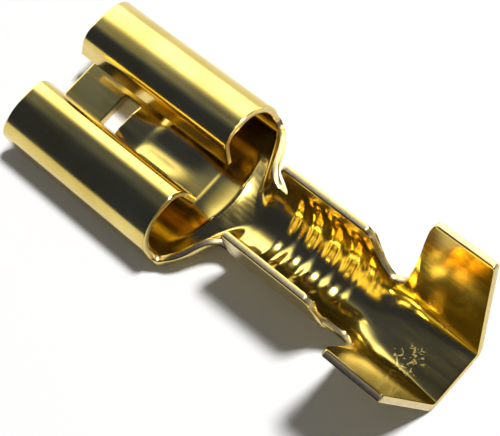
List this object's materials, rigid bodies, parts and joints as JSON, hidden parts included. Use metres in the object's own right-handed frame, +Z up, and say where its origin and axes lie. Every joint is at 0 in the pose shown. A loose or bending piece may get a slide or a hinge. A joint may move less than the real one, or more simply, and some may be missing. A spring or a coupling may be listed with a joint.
{
  "type": "female spade terminal",
  "caption": "Uninsulated open-barrel female spade terminal that slides onto a flat blade tab and is crimped to a wire.",
  "frame": {"origin": "middle of the terminal's length and width, on its flat underside", "axes": "+X from the mouth towards the cable end, +Y across, +Z up out of the barrels"},
  "size_m": [0.0208, 0.0076, 0.0054],
  "materials": {
    "brass": "bright rolled brass strip, lightly scuffed, with paler sheared edges"
  },
  "bodies": {
    "root": {"terminal": "brass"}
  },
  "joints": []
}
